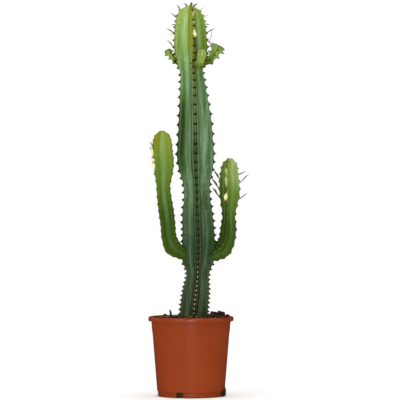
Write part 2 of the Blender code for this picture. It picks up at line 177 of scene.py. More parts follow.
def notch_blocks():
    """The four blocks that cut the drain notches. Each is a ring of four corners at the bottom and
    a narrower ring at the top, set outwards at its turn, with a pole in the middle of each end."""
    width, depth, height = NOTCH_SIZE
    corner_x = np.array((-1, 1, 1, -1)) * width / 2
    corner_y = np.array((-1, -1, 1, 1)) * depth / 2 + depth / 2 - FOOT_RADIUS - CUT_MARGIN
    share = np.array((0, 1, NOTCH_DRAFT, 0))[:, None]
    x = share * corner_x
    y = np.where(share > 0, corner_y, corner_y.mean())
    z = np.array((-CUT_MARGIN, -CUT_MARGIN, height, height))[:, None] + 0 * corner_x
    turn = NOTCH_TURNS[:, None, None]
    return np.stack((x * np.cos(turn) - y * np.sin(turn), x * np.sin(turn) + y * np.cos(turn),
                     z + 0 * turn), axis=-1)


def cut(mesh, blocks):
    """The mesh less the blocks, by an exact Boolean."""
    body = bpy.data.objects.new("uncut", mesh)
    tool = bpy.data.objects.new("blocks", blocks)
    for obj in (body, tool):
        scene.collection.objects.link(obj)
    boolean = body.modifiers.new("notches", "BOOLEAN")
    boolean.operation = "DIFFERENCE"
    boolean.object = tool
    result = bpy.data.meshes.new_from_object(body.evaluated_get(bpy.context.evaluated_depsgraph_get()))
    bpy.data.objects.remove(body)
    bpy.data.objects.remove(tool)
    result.set_sharp_from_angle(angle=math.radians(35))
    result.polygons.foreach_set("material_index", np.zeros(len(result.polygons), np.int32))
    return result


def tint(red, green, blue):
    """A paint-chart colour, each part from 0 to 255, as the light that it returns."""
    part = np.array((red, green, blue)) / 255
    linear = np.where(part > 0.04045, ((part + 0.055) / 1.055) ** 2.4, part / 12.92)
    return (*linear.tolist(), 1.0)


class Value:
    """A number or a colour that changes over a surface. Each operator adds the Math node for it."""

    def __init__(self, nodes, socket):
        self.nodes = nodes
        self.socket = socket

    def worked(self, operation, *numbers):
        return self.nodes.node("Math", {"operation": operation}, dict(enumerate(numbers)))

    def __add__(self, other):
        return self.worked("ADD", self, other)

    def __sub__(self, other):
        return self.worked("SUBTRACT", self, other)

    def __rsub__(self, other):
        return self.worked("SUBTRACT", other, self)

    def __mul__(self, other):
        return self.worked("MULTIPLY", self, other)

    __radd__ = __add__
    __rmul__ = __mul__

    def wave(self):
        """Distance from the nearest whole number, from 0 on it to 1 half way between two."""
        return self.worked("PINGPONG", self, 0.5) * 2

    def step(self, low, high):
        """A smooth rise from 0 at low to 1 at high, or a fall where low is the greater."""
        return self.nodes.node("MapRange", {"interpolation_type": "SMOOTHSTEP"},
                               {"Value": self, "From Min": low, "From Max": high})


class Nodes:
    """A tree of shader nodes that is being built."""

    def __init__(self, tree):
        self.tree = tree

    def node(self, kind, settings=None, sockets=None, output=0):
        """Add a shader node: its settings first, then the value or link of each named socket."""
        made = self.tree.nodes.new("ShaderNode" + kind)
        for name, setting in (settings or {}).items():
            if name == "stops":
                ramp = made.color_ramp.elements
                for position, _ in setting[2:]:
                    ramp.new(position)
                for stop, (position, colour) in zip(ramp, sorted(setting)):
                    stop.position, stop.color = position, colour
            else:
                setattr(made, name, setting)
        for name, value in (sockets or {}).items():
            if isinstance(value, Value):
                self.tree.links.new(value.socket, made.inputs[name])
            else:
                made.inputs[name].default_value = value
        return Value(self, made.outputs[output])


class Paint(Nodes):
    """A material in the making: a Principled shader with its constants, and what feeds it."""

    def __init__(self, name, specular, constants=None):
        self.material = bpy.data.materials.new(name)
        self.material.use_nodes = True
        super().__init__(self.material.node_tree)
        self.shader = self.tree.nodes["Principled BSDF"]
        for socket, value in {"Specular IOR Level": specular, **(constants or {})}.items():
            self.shader.inputs[socket].default_value = value
        self.where = self.node("TexCoord", output="Object")

    def read(self, field):
        """A number kept at every point of the mesh."""
        return self.node("Attribute", {"attribute_name": field}, output="Fac")

    def noise(self, per_metre, detail=3, stretch=(1, 1, 1), roughness=0.5):
        """Clouds of so many to the metre, about 0.5, stretched along an axis where it is below 1."""
        spot = self.node("Mapping", {}, {"Vector": self.where, "Scale": stretch})
        return self.node("TexNoise", {}, {"Vector": spot, "Scale": per_metre,
                                                   "Detail": detail, "Roughness": roughness})

    def mix(self, share, colour, other):
        """One colour turning into the other as the share goes from 0 to 1."""
        colour, other = (c if isinstance(c, Value) else tint(*c) for c in (colour, other))
        return self.node("Mix", {"data_type": "RGBA"}, {0: share, 6: colour, 7: other}, output=2)

    def ramp(self, share, *stops):
        """A run of colours, each given with its place from 0 to 1."""
        stops = [(position, tint(*colour)) for position, colour in stops]
        return self.node("ValToRGB", {"stops": stops}, {"Fac": share})

    def feed(self, colour, roughness, relief, depth):
        """Link what changes: the colour, the roughness, and a relief so many metres deep."""
        bump = self.node("Bump", {}, {"Height": relief, "Distance": depth, "Strength": 1.0})
        for socket, value in (("Base Color", colour), ("Roughness", roughness), ("Normal", bump)):
            self.tree.links.new(value.socket, self.shader.inputs[socket])
        return self.material


def pot_plastic():
    """Satin terracotta plastic: slow clouds of tone, fine scuffs round the wall, pale soil dust on
    the lip that is also a painted highlight, and grime in the foot."""
    paint = Paint("terracotta_plastic", 0.22)
    height = paint.node("SeparateXYZ", {}, {"Vector": paint.where}, output="Z")
    clouds = paint.noise(9, detail=2)
    scuffs = paint.noise(50, detail=6, stretch=(1, 1, 9), roughness=0.7)
    grain = paint.noise(900, detail=2)
    colour = paint.mix(clouds.step(0.3, 0.7), (142, 54, 12), (150, 60, 16))
    colour = paint.mix(scuffs.step(0.55, 0.8) * 0.2, colour, (170, 92, 58))
    # pale soil dust on the lip, lightened as a painted highlight
    on_lip = height.step(pot_high.z - 8 * MM, pot_high.z - 1 * MM)
    lip_dust_and_highlight = on_lip * paint.noise(120, detail=5).step(0.45, 0.7)
    colour = paint.mix(lip_dust_and_highlight * 0.6, colour, (146, 98, 76))
    grime = height.step(16 * MM, 3 * MM) * paint.noise(70, detail=4).step(0.35, 0.75)
    colour = paint.mix(grime * 0.45, colour, (112, 48, 22))
    roughness = 0.26 + scuffs * 0.12 + lip_dust_and_highlight * 0.1 + grime * 0.2
    return paint.feed(colour, roughness, grain * 0.4 + scuffs, 0.05 * MM)


outline = rounded(pot_outline())
pot_skin = cut(grid_mesh("pot_skin", round_z(outline[:, :1], circle(POT_COLUMNS), outline[:, 1:])),
               grid_mesh("notch_blocks", notch_blocks()))
place("nursery_pot", pot_skin, pot_plastic(), "pot_plastic", "pot")


# -------- soil
# Peat and composted bark, filled in by hand to just under the rim and pushed up round the stem.
# Loose crumbs, flat bits of bark and a few straws lie on its top.
SOIL_SEED = 11
CRUMBS = 1100
BARK_BITS = 260  # flat bits, spread evenly
HEAP_BITS = 110  # chunkier bits, on the heap
RIM_CRUMBS = 34  # spilt on the pot's rim
STRAWS = 60
soil_low, soil_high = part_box("soil")
soil_edge = soil_high.x
SOIL_LEVEL = 155.5 * MM  # at the wall; the ground rises from it towards the stem
HEAP = (54 * MM, 4 * MM)  # x and y of the bark heap's middle


def unevenness(x, y, size, seed):
    """Smooth random heights from -1 to 1: those of a random lattice so far apart, and between four
    of its points a blend by the cubic 3t^2 - 2t^3 both ways."""
    lattice = np.random.default_rng(seed).uniform(-1, 1, (64, 64))
    u, v = x / size + 32, y / size + 32
    i, j = np.floor(u).astype(int), np.floor(v).astype(int)
    s, t = ((w * w * (3 - 2 * w)) for w in (u - i, v - j))
    i, j = i % 63, j % 63
    low = lattice[i, j] * (1 - s) + lattice[i + 1, j] * s
    high = lattice[i, j + 1] * (1 - s) + lattice[i + 1, j + 1] * s
    return low * (1 - t) + high * t


def ground(x, y):
    """Height of the soil: the level, a mound round the stem, a heap on the right, low waves, and a
    dip towards the wall."""
    radius = np.hypot(x, y)
    mound = 3.5 * MM * np.exp(-(radius / (40 * MM)) ** 2)
    heap = 5.4 * MM * np.exp(-((x - HEAP[0]) / (20 * MM)) ** 2 - ((y - HEAP[1]) / (24 * MM)) ** 2)
    waves = 0.7 * MM * np.sin(x / (7 * MM) + 1) * np.cos(y / (6 * MM))
    dip = 11 * MM * np.maximum(0, radius / wall_radius(SOIL_LEVEL) - 0.8)
    return SOIL_LEVEL + mound + heap + waves - dip


def soil_skin():
    """The root ball turned from its section, with its top raised to the ground and roughened."""
    sides = np.array(((0, soil_low.z), (soil_edge - 16 * MM, soil_low.z),
                      (soil_edge - 13.6 * MM, soil_low.z + 2 * MM),
                      (soil_edge - 0.6 * MM, SOIL_LEVEL - 8 * MM)))
    reach = np.linspace(1, 0, 84)[:, None]
    top = np.hstack((soil_edge * reach, SOIL_LEVEL + 0 * reach))
    section = np.vstack((sides, top))
    points = round_z(section[:, :1], circle(300), section[:, 1:])
    x, y = points[4:, :, 0], points[4:, :, 1]
    rough = 1.1 * unevenness(x, y, 5 * MM, 1) + 0.7 * unevenness(x, y, 2.2 * MM, 2) - 0.9
    points[4:, :, 2] = ground(x, y) + MM * rough
    return points


def turns(count, rng, tilt):
    """Random frames as three unit vectors each: a turn about Z, then a lean of up to the tilt."""
    a, lean = rng.uniform(0, math.tau, count), rng.normal(0, tilt, count)
    along = np.stack((np.cos(a) * np.cos(lean), np.sin(a) * np.cos(lean), np.sin(lean)), axis=-1)
    across = np.stack((-np.sin(a), np.cos(a), 0 * a), axis=-1)
    return np.stack((along, across, np.cross(along, across)), axis=1)


def lumps(centres, frames, sizes, rng, rows=5, columns=7, rough=0.22):
    """Rough pebbles: a ball's points, each pushed in or out at random, stretched to the three
    sizes along each lump's own frame."""
    polar = np.linspace(0, math.pi, rows)[:, None]
    around = circle(columns)
    ball = np.stack((np.sin(polar) * np.cos(around), np.sin(polar) * np.sin(around),
                     np.cos(polar) + 0 * around), axis=-1)
    push = 1 + rng.uniform(-rough, rough, (len(centres), rows, columns, 1))
    push[:, (0, -1)] = push[:, (0, -1), :1]
    local = ball * push * sizes[:, None, None, :] / 2
    return centres[:, None, None, :] + np.einsum("krci,kij->krcj", local, frames)


def scattered(count, rng, inner, outer):
    """Random places on a ring of the soil's top, even over its area: the radius is the root of an
    even draw between the squares of its two limits."""
    radius = np.sqrt(rng.uniform(inner ** 2, outer ** 2, count))
    return round_z(radius, rng.uniform(0, math.tau, count), 0)[:, :2]


def on_ground(places, lift):
    """Those places with the ground's height and a lift."""
    height = ground(places[:, 0], places[:, 1]) + lift
    return np.column_stack((places, height))


def tubes(paths, radii, columns=6):
    """Rods carried along paths of shape (..., points, 3): at each point a circle of that radius,
    square to the path. A radius of zero closes an end."""
    along = unit(np.gradient(paths, axis=-2))
    guide = np.where(np.abs(along[..., 2:]) > 0.8, (1.0, 0.1, 0.0), (0.1, 0.0, 1.0))
    side = unit(np.cross(along, guide))
    other = np.cross(along, side)
    a = circle(columns)[:, None]
    spokes = np.cos(a) * side[..., None, :] + np.sin(a) * other[..., None, :]
    return paths[..., None, :] + radii[..., None, None] * spokes


def straws(count, rng):
    """Thin dry stalks that lie on the soil. Each is a parabola: from its middle it bends to one
    side, and rises a little, as the square of the distance along it."""
    middle = on_ground(scattered(count, rng, 20 * MM, 74 * MM), 1.2 * MM)
    frames = turns(count, rng, 0.16)
    reach = rng.uniform(3, 9, (count, 1, 1)) * MM
    t = np.linspace(-1, 1, 5)[:, None]
    bow = rng.uniform(-0.25, 0.25, (count, 1, 1))
    paths = (middle[:, None] + reach * t * frames[:, :1] + reach * bow * t ** 2 * frames[:, 1:2]
             + 0.5 * MM * t ** 2 * frames[:, 2:])
    radii = rng.uniform(0.3, 0.6, (count, 1)) * MM * np.array((0, 1, 1, 0.9, 0))
    return tubes(paths, radii, columns=5)


def earth(name, dark, pale, roughness):
    """Crumbly earth or wood: each piece has its own tone, with finer mottling and a rough relief."""
    paint = Paint(name, 0.2)
    mottle = paint.noise(420, detail=6, roughness=0.7)
    tone = paint.read("tone") * 0.8 + mottle * 0.5 - 0.15
    return paint.feed(paint.mix(tone, dark, pale), roughness + mottle * 0.1, mottle, 0.5 * MM)


def lay(name, points, fields, material, slot, *nodes, sharp_degrees=50):
    """Skin a grid of points and put the piece in its place."""
    place(name, grid_mesh(name, points, fields, sharp_degrees), material, slot, *nodes)


rng = np.random.default_rng(SOIL_SEED)
peat = earth("damp_peat", (34, 22, 16), (84, 54, 36), 0.85)
lay("root_ball", soil_skin(), {"tone": 0.3}, peat, "potting_soil", "soil")

crumb_sizes = rng.uniform(1.2, 4.2, (CRUMBS, 3)) * MM
crumb_places = on_ground(scattered(CRUMBS, rng, 22 * MM, 76.5 * MM), -0.2 * MM)
crumbs = lumps(crumb_places, turns(CRUMBS, rng, 0.5), crumb_sizes, rng)
lay("peat_crumbs", crumbs, {"tone": rng.uniform(0, 1, (CRUMBS, 1, 1)) ** 2}, peat, "potting_soil")

bit_sizes = np.sort(rng.uniform(1.6, 8.5, (BARK_BITS, 3)), axis=1)[:, ::-1] * (1, 0.8, 0.35) * MM
bit_places = on_ground(scattered(BARK_BITS, rng, 26 * MM, 74 * MM), 0.6 * MM)
bits = lumps(bit_places, turns(BARK_BITS, rng, 0.25), bit_sizes, rng, rough=0.3)
lay("bark_bits", bits, {"tone": rng.uniform(0, 1, (BARK_BITS, 1, 1))},
    earth("composted_bark", (48, 28, 18), (128, 78, 48), 0.75), "bark", sharp_degrees=25)

heap_places = np.column_stack((rng.uniform(28, 74, HEAP_BITS), rng.uniform(-34, 22, HEAP_BITS))) * MM
heap_places = heap_places[np.hypot(*heap_places.T) < 76 * MM]
heap_sizes = rng.uniform(2.5, 8, (len(heap_places), 3)) * (1, 0.8, 0.6) * MM
heap_bits = lumps(on_ground(heap_places, rng.uniform(0, 4, len(heap_places)) * MM),
                  turns(len(heap_places), rng, 0.5), heap_sizes, rng, rough=0.3)
lay("heap_bits", heap_bits, {"tone": rng.uniform(0, 0.8, (len(heap_places), 1, 1)) ** 2},
    earth("old_bark", (26, 18, 14), (120, 76, 52), 0.75), "bark", sharp_degrees=12)

rim_turn = rng.uniform(0.15, 1.2, RIM_CRUMBS) * np.where(rng.random(RIM_CRUMBS) < 0.8, 1, -0.9)
rim_reach = rng.uniform(79.4, 82.6, RIM_CRUMBS) * MM
rim_crumbs = lumps(round_z(rim_reach, rim_turn, pot_high.z + 0.6 * MM), turns(RIM_CRUMBS, rng, 0.3),
                   rng.uniform(1.2, 3.6, (RIM_CRUMBS, 3)) * MM, rng)
lay("rim_crumbs", rim_crumbs, {"tone": rng.uniform(0, 1, (RIM_CRUMBS, 1, 1)) ** 2}, peat, "potting_soil")
lay("straws", straws(STRAWS, rng), {"tone": rng.uniform(0, 1, (STRAWS, 1, 1))},
    earth("dry_straw", (140, 100, 56), (214, 186, 128), 0.6), "bark")


# -------- main stem
# The thick four-ribbed stem, one growth from the roots to the tip. Its waxy green skin is drawn in
# at each winter's rest, and a row of thorn pads runs up every rib's edge with a vein to each pad.
RIBS = 4
VEIN_LEAN = 1.15  # pads that a vein climbs from a valley to a crest
CREST_CROWDING = 1.35  # draws a flank's points together at its crest, where the teeth are
SHADED_SKIN = -0.75  # painted shade: the bloom of the flank that is painted dark
# x, y, z and crest radius in millimetres, then the ribs' turn in degrees
MAIN_STEM = (
    (3, 0, 98, 19, 0), (4, 0, 130, 27, 0), (6.2, 0, 172, 28.5, 0), (10, 0, 208, 27, 0),
    (13.8, 0, 250, 24.8, -1), (13.8, 0, 266, 31.5, -2), (14.6, 0, 284, 33.5, -2),
    (14.8, 0, 325, 32.5, -2), (13, 0, 358, 31, -1), (11.8, 0, 405, 26.5, 0),
    (11.2, 0, 425, 28, 0), (10, 0, 450, 34, 0), (9, 0, 475, 37.3, 0), (8.8, 0, 510, 35.5, 0),
    (7.8, 0, 550, 33, 1), (5.5, 0, 590, 28.8, 4), (2.6, 0, 630, 24.8, 9),
    (1.2, 0, 645, 23.6, 10), (0.2, 0, 662, 28.6, 11), (0, 0, 682, 33.6, 12),
    (-1, 0, 715, 33.4, 13), (-1.6, 0, 745, 30, 13), (-2, 0, 762, 24.4, 13),
    (-1.8, 0, 771, 17, 13), (-1.6, 0, 777, 5, 13),
)


class Stem:
    """A ribbed stem on a smooth middle line through its stations, with thorn pads spaced by the
    pitches, which stand at even steps from base to tip. Turns start at the front and grow to +X.

    The valley is its radius as a share of the crest's, and the tooth is how far the skin rises to
    a pad. The bloom and sheen of each rib's two flanks, from the front rib round by +X, first at
    the tip and then lower down, are partly the real wax and partly a painted sheen, highest on the
    flanks that face the lights; below zero they are painted shade, a dark bare green. The shaded
    flank, given as its number and two ages, is painted in shade between them, and the flushed one
    has yellowed at the tip. An age runs from 0 at the tip to 1 at the base.
    """

    def __init__(self, stations, pitches, bloom_and_sheen, valley=0.56, tooth=3.2 * MM, keen=2.0, rubbed=(0, 0, 0),
                 flush=-9):
        self.bloom_and_sheen = np.broadcast_to(np.array(bloom_and_sheen, float), (2, 2 * RIBS))
        self.valley, self.tooth, self.keen, self.rubbed, self.flush = valley, tooth, keen, rubbed, flush
        self.rows = np.array(stations, float) * (MM, MM, MM, MM, 1)
        steps = np.linalg.norm(np.diff(self.rows[:, :3], axis=0), axis=1)
        self.along = np.concatenate(([0], np.cumsum(steps)))
        self.slopes = np.gradient(self.rows, self.along, axis=0)
        self.length = self.along[-1]
        self.slender = 0.5 * self.rows[:, 3].max()  # below this radius teeth are smaller
        self.distance = np.linspace(0, self.length, 400)
        pitch = np.interp(self.distance / self.length, np.linspace(0, 1, len(pitches)), pitches) * MM
        passed = np.concatenate(([0], np.cumsum(np.diff(self.distance) / pitch[1:])))
        self.count = round(float(passed[-1]))
        self.passed = passed * self.count / passed[-1]

    def at(self, count):
        """Centre, front, side, tangent, crest radius and turn where that many pads are passed.

        Between two stations every value follows a cubic that keeps the stations' own slopes. The
        front is -Y made square to the tangent, and the side is square to both.
        """
        distance = np.interp(count, self.passed, self.distance)
        i = np.clip(np.searchsorted(self.along, distance) - 1, 0, len(self.along) - 2)
        span = (self.along[i + 1] - self.along[i])[:, None]
        t = (distance - self.along[i])[:, None] / span
        rise = 3 * t ** 2 - 2 * t ** 3
        value = ((1 - rise) * self.rows[i] + rise * self.rows[i + 1]
                 + span * t * (1 - t) ** 2 * self.slopes[i]
                 - span * t ** 2 * (1 - t) * self.slopes[i + 1])
        chord = (self.rows[i + 1] - self.rows[i]) / span
        tangent = unit((chord + (1 - t) * self.slopes[i] + t * self.slopes[i + 1])[:, :3])
        front = unit(np.array((0.0, -1.0, 0.0)) + tangent[:, 1:2] * tangent)
        side = np.cross(tangent, front)
        return value[:, :3], front, side, tangent, value[:, 3], np.radians(value[:, 4])

    def skin(self, rings=10, flank=12):
        """The stem's surface and its fields, with rings to a pad and points to a flank.

        The reach at turn a is the crest radius times a share, which is 1 on a crest and falls to
        the valley's share as ((1 + cos 4a) / 2)^keen. A tooth with a cusp 0.7 - |sin(pi n)| rises
        on the crest where n pads are passed, and low veins lean from the valleys up to each pad.
        """
        count = np.linspace(0, self.count, self.count * rings + 1)
        centre, front, side, _, radius, turn = self.at(count)
        u = np.linspace(-1, 1, 2 * flank, endpoint=False)
        spread = np.abs(u) ** CREST_CROWDING
        across = np.tile(spread, RIBS)
        angle = (np.arange(RIBS)[:, None] * math.tau / RIBS + np.sign(u) * spread * math.pi / RIBS).ravel()
        share = self.valley + (1 - self.valley) * (0.5 + 0.5 * np.cos(RIBS * angle)) ** self.keen
        size = np.minimum(1, radius / self.slender)[:, None]
        passed = count[:, None]
        tooth = self.tooth * (0.7 - np.abs(np.sin(math.pi * passed))) * np.exp(-(across / 0.15) ** 2)
        vein = 0.5 + 0.5 * np.cos(math.tau * (passed + VEIN_LEAN * across))
        relief = 0.12 * MM * vein ** 3 * np.sin(math.pi * across ** 0.7)
        reach = radius[:, None] * share + size * (tooth + relief)
        way = angle + turn[:, None]
        out = np.cos(way)[..., None] * front[:, None] + np.sin(way)[..., None] * side[:, None]
        points = centre[:, None] + reach[..., None] * out
        pole = np.broadcast_to(centre[:, None], points.shape)
        points = np.concatenate((pole[:1], points, pole[-1:]))
        rows = np.concatenate((count[:1], count, count[-1:]))[:, None]
        age = 1 - np.interp(rows, self.passed, self.distance) / self.length
        flank_at = self.flank_at(u)
        return points, {"across": across, "pads": rows, "age": age, "wax": self.wax(flank_at, age),
                        "flush": self.nearness(flank_at, self.flush)}

    def flank_at(self, u):
        """Which flank each point round the stem is on, eased over the crests and valleys."""
        crest, valley = 0.5 * np.clip(u / 0.2, -1, 1), np.clip((np.abs(u) - 0.85) / 0.15, 0, 1)
        return (np.arange(RIBS)[:, None] * 2 - 0.5 + crest + 0.5 * np.sign(u) * valley).ravel() % (2 * RIBS)

    def nearness(self, flank_at, flank):
        """1 on the flank of that number, falling to 0 before the middles of its neighbours."""
        return np.clip(1.15 - 1.6 * np.abs(flank_at - flank), 0, 1)

    def wax(self, flank_at, age):
        """The bloom and painted sheen over the skin: each flank has its own, which changes from the
        tip's to the lower one between the ages 0.14 and 0.3, and the shaded flank is painted in shade
        between its two ages."""
        tip, low = (np.interp(flank_at, np.arange(2 * RIBS + 1), np.append(row, row[0]))
                    for row in self.bloom_and_sheen)
        wax = tip + (low - tip) * np.clip((age - 0.14) / 0.16, 0, 1)
        which, young, old = self.rubbed
        between = np.clip((age - young) / 0.05, 0, 1) * np.clip((old - age) / 0.08, 0, 1)
        return wax + self.nearness(flank_at, which) * between * (SHADED_SKIN - wax)

    def crests(self, out):
        """Every thorn pad's place on its crest, its outward, sideways and upward directions, its
        size as a share of a full one, and how far up the stem it is, from 0 to 1."""
        count = np.repeat(np.arange(1, self.count), RIBS)
        centre, front, side, tangent, radius, turn = self.at(count)
        way = (turn + np.tile(np.arange(RIBS), self.count - 1) * math.tau / RIBS)[:, None]
        outward = np.cos(way) * front + np.sin(way) * side
        reach = radius + 0.7 * self.tooth * np.minimum(1, radius / self.slender) + out
        share = np.minimum(1, radius / self.slender) * np.interp(count / self.count, (0.8, 1), (1, 0.65))
        return (centre + reach[:, None] * outward, outward, np.cross(tangent, outward), tangent,
                share[:, None], (count / self.count)[:, None])


def succulent_skin(name, shades, bloom_and_sheen, stripe_and_sheen_share, margin, margin_share):
    """Waxy skin: shades from the young tip to the old base, streaks of grey bloom with a painted
    sheen where the wax is left and beside the valleys, painted shade where the bloom falls below
    zero and along the valley bottoms, faint veins up to each pad, and a horny margin on the crests."""
    paint = Paint(name, 0.05)
    across, pads, age, wax, flushed = map(paint.read, ("across", "pads", "age", "wax", "flush"))
    clouds = paint.noise(34, detail=4, stretch=(1, 1, 0.35))
    streaks = paint.noise(170, detail=4, stretch=(1, 1, 0.1))
    fleck = paint.noise(420, detail=5, roughness=0.65)
    colour = paint.ramp(age + (clouds - 0.5) * 0.08, *shades)
    # painted shade: where the bloom is below zero the skin turns a dark saturated green
    colour = paint.mix((wax * -1).step(0, 1) * clouds.step(0.1, 0.5), colour, (34, 60, 2))

    # bloom and painted sheen: in streaks on the flanks, along the valleys, on the veins and beside the
    # margin, with the pale colour partly a painted highlight at the young tip
    worn = age.step(0.76, 0.35) * 0.68 + 0.32
    mottle = (streaks * 0.6 + fleck * 0.2 + clouds * 0.2).step(0.4, 0.6)
    powder_and_sheen = wax.step(0, 1) * worn * (mottle * 0.75 + 0.15 + fleck.step(0.5, 0.62) * 0.35)
    stripe_and_sheen = across.step(0.35, 0.8) * worn * stripe_and_sheen_share * (mottle * 0.6 + 0.4)
    pale = paint.mix(age.step(0.25, 0.08), bloom_and_sheen, (178, 206, 146))
    line = pads + across * VEIN_LEAN + (fleck - 0.5) * 0.4 + (clouds - 0.5) * 0.3
    vein = line.wave().step(0.3, 0.02) * across.step(0.1, 0.4) * mottle
    edge = across.step(0.16, 0.2) * across.step(0.34, 0.22) * worn * 0.25
    colour = paint.mix(powder_and_sheen * 0.55 + stripe_and_sheen + vein * 0.05 + edge * margin_share, colour, pale)

    # dark green: blots between the veins, a dark line with painted shade along the valley bottoms, and cracks
    # across old flanks
    blot = (line + 0.45).wave().step(0.3, 0.0) * across.step(0.12, 0.25) * across.step(0.7, 0.35) * mottle
    groove_and_shade = across.step(0.92, 1.0)
    crack = (line + 0.5).wave().step(0.16, 0.02) * across.step(0.12, 0.25) * across.step(0.85, 0.5)
    crack = crack * clouds.step(0.4, 0.55) * age.step(0.4, 0.6) * margin_share * 0.55
    colour = paint.mix(crack + blot * 0.2 + groove_and_shade * (margin_share * 0.2 + 0.12), colour, (32, 60, 22))

    # the yellow flush of the growing tip
    rusty = clouds.step(0.42, 0.56) * across.step(0.75, 0.3) * age.step(0.07, 0.1) * margin_share * 0.6
    flush = age.step(0.18, 0.1) * across.step(0.75, 0.4) * (flushed + rusty)
    colour = paint.mix(flush * 0.62, colour, (128, 132, 20))

    # the horny margin, split between the pads, with a scab on each and pale scars and cork low down
    crest = (across + age.step(0.16, 0.1) * 0.07).step(0.17, 0.1) * margin_share
    worn_crest = paint.mix(age.step(0.2, 0.42), (98, 90, 44), margin)
    colour = paint.mix(crest * (streaks * 0.5 + 0.65), colour, worn_crest)
    old = age.step(0.3, 0.5)
    rut = (across + old * 0.03).step(0.075, 0.03) * pads.wave().step(0.15, 0.4) * (1 - old * 0.45)
    colour = paint.mix(rut * fleck.step(0.32, 0.6) * 0.8 * margin_share, colour, (148, 126, 88))
    scab = across.step(0.2, 0.14) * pads.wave().step(0.14, 0.04)
    colour = paint.mix(scab * (margin_share * 0.9 + 0.1), colour, (40, 28, 14))
    spot = across * 12 + (1 - pads.wave()) * 1.8 + (fleck - 0.5) * 2 + (clouds - 0.5) * 1.4
    scar = spot.step(0.85, 0.5) * age.step(0.74, 0.78) * age.step(0.93, 0.88)
    colour = paint.mix(scar * 0.85 * margin_share, colour, (222, 216, 170))
    cork = across.step(0.42, 0.1) * age.step(0.7, 0.84) * (mottle * 0.7 + 0.3) * (1 - scar)
    colour = paint.mix(cork * 0.5 * margin_share, colour, (84, 66, 30))

    roughness = 0.46 + powder_and_sheen * 0.12 + crest * 0.2 + fleck * 0.08
    return paint.feed(colour, roughness, fleck * 0.6 + streaks * 0.7, 0.4 * MM)


# the bloom and sheen rows, tip then low: the flanks below zero and the shaded flank 6 are painted shade, and
# the higher ones are partly a painted sheen
main_stem = Stem(MAIN_STEM, (9, 9, 9, 12, 15, 14, 20, 19, 13, 14, 9), rubbed=(6, 0.24, 0.5), flush=7,
                 bloom_and_sheen=((-0.38, -0.12, 0.4, 0.4, 0.4, 0.4, 0.5, 0.35),
                        (0.65, 0.8, 0.8, 0.6, 0.6, 0.7, 0.75, 0.5)))
main_skin = succulent_skin(
    "old_waxy_skin",
    ((0.0, (150, 168, 50)), (0.05, (120, 150, 38)), (0.12, (98, 134, 36)),
     (0.2, (80, 116, 40)), (0.3, (62, 94, 30)), (0.4, (50, 80, 14)), (0.55, (50, 76, 24)),
     (0.7, (34, 54, 22)), (0.85, (36, 48, 18)), (1.0, (40, 50, 20))),
    (140, 172, 134), 0.55, (40, 44, 12), 0.85)
lay("ribbed_main_stem", *main_stem.skin(), main_skin, "stem_skin", "main_stem", sharp_degrees=180)


# -------- arms
# Two branches, each grown out of the main stem through a tapering heel and then turned up to the
# light. They are a year or two younger, so their skin is brighter and greener.
LEFT_ARM = (
    (2, 0, 271, 2, 45), (-9, 0, 276, 9, 45), (-22, 0, 285, 17, 45), (-36, 0, 296, 22, 45),
    (-43, 0, 313, 20, 45), (-46, -1, 342, 19.6, 45), (-49.4, -2, 368, 20, 45),
    (-53.2, -2, 395, 18.8, 45), (-55.2, -2, 420, 18.5, 45), (-54.6, -2, 438, 23, 46),
    (-55.2, -2, 462, 27.4, 47), (-57.2, -2, 489, 26.4, 48), (-57.6, -2, 509, 23.5, 48),
    (-58, -2, 521, 17, 48), (-58.4, -2, 528, 5, 48),
)
RIGHT_ARM = (
    (26, 0, 268, 2, -16), (37, 0, 274.5, 9, -16), (50, -1, 283.5, 15.8, -16), (62, -1, 292, 18.6, -16),
    (70.6, -1, 308, 17.2, -16), (74.5, -1, 334, 16.4, -16), (75.4, -1, 360, 13.8, -16),
    (76, -1, 378, 16.5, -16), (76.8, -1, 399, 20.6, -16), (76.4, -1, 425, 20.6, -16),
    (76.4, -1, 446, 18.2, -16), (77.4, -1, 462, 14.5, -16), (78.4, -1, 473, 5, -16),
)
left_arm = Stem(LEFT_ARM, (11, 12, 13, 15, 15, 8), tooth=2.4 * MM, flush=6,
                bloom_and_sheen=(0.1, 0.1, 0.4, 0.3, 0.3, 0.3, 0.1, 0.0))
# the pale flanks 0 and 1 are partly a painted sheen, and the flanks below zero, 6 and 7, are painted shade
right_arm = Stem(RIGHT_ARM, (11, 12, 14, 17, 15, 8), tooth=2.6 * MM,
                 bloom_and_sheen=((0.8, 1.8, 1.0, 0.4, 0.3, 0.0, -0.5, -0.7),
                        (0.0, 0.1, 0.4, 0.3, 0.3, 0.0, -0.6, -0.7)))
arm_skin = succulent_skin(
    "young_waxy_skin",
    ((0.0, (136, 150, 48)), (0.2, (108, 132, 40)), (0.4, (82, 110, 28)),
     (0.58, (54, 80, 14)), (1.0, (56, 80, 10))),
    (150, 182, 124), 0.3, (92, 90, 24), 0.18)
lay("left_arm_skin", *left_arm.skin(), arm_skin, "arm_skin", "left_arm", sharp_degrees=180)
lay("right_arm_skin", *right_arm.skin(), arm_skin, "arm_skin", "right_arm", sharp_degrees=180)


